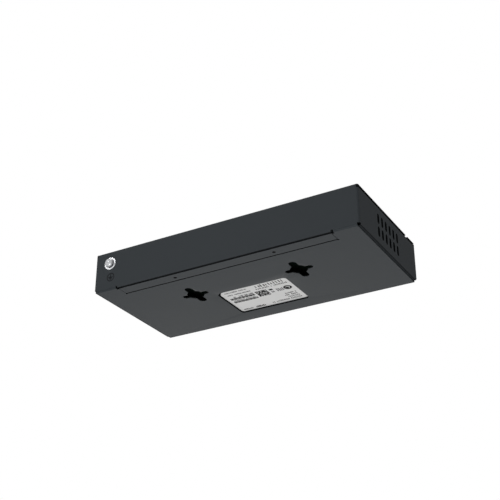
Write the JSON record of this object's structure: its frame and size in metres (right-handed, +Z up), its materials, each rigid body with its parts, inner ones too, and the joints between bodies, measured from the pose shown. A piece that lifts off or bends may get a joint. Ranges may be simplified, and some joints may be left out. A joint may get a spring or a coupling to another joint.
{
  "type": "ethernet switch",
  "caption": "Slim network switch in a dark folded sheet-metal case, with wall-mount keyholes, side vents, a rear ground screw and a front row of copper network sockets.",
  "frame": {"origin": "midway between the two wall-mount keyholes, on the underside of the case", "axes": "+X along the case, +Y towards the rear wall with the ground screw, +Z up"},
  "size_m": [0.21, 0.1021, 0.0304],
  "materials": {
    "case_paint": "fine matt powder coat",
    "black_steel": "black oxide",
    "zinc_plate": "bright zinc plate",
    "label_paper": "matt printed film",
    "insulating_film": "matt film",
    "board_laminate": "solder mask",
    "black_moulding": "moulded",
    "shield_metal": "bright nickel",
    "contact_gold": "gold flash",
    "clear_moulding": "clear moulding",
    "led_body": "moulded",
    "chip_resin": "moulded resin",
    "soft_pad": "soft pad",
    "bare_aluminium": "extruded",
    "capacitor_sleeve": "shrink sleeve",
    "capacitor_body": "ceramic"
  },
  "bodies": {
    "root": {"base_shell": "case_paint", "top_cover": "case_paint", "closing_strip": "case_paint", "strip_screws": "black_steel", "backing_strip": "black_steel", "rating_label": "label_paper", "ground_screw": "zinc_plate", "ground_washer": "zinc_plate", "ground_spring_washer": "zinc_plate", "ground_weld_nut": "zinc_plate", "insulating_film": "insulating_film", "board_standoffs": "zinc_plate", "main_board": "board_laminate", "board_screws": "zinc_plate", "port_housing": "black_moulding", "port_shield": "shield_metal", "port_contacts": "contact_gold", "uplink_housing": "black_moulding", "uplink_shield": "shield_metal", "uplink_contacts": "contact_gold", "power_jack_body": "black_moulding", "power_jack_pin": "contact_gold", "light_pipes": "clear_moulding", "indicator_leds": "led_body", "line_transformers": "chip_resin", "switch_chip": "chip_resin", "thermal_pad": "soft_pad", "heat_sink": "bare_aluminium", "memory_chip": "chip_resin", "crystal_can": "shield_metal", "bulk_capacitors": "capacitor_sleeve", "power_inductor": "chip_resin", "power_chips": "chip_resin", "small_capacitors": "capacitor_body"}
  },
  "joints": []
}
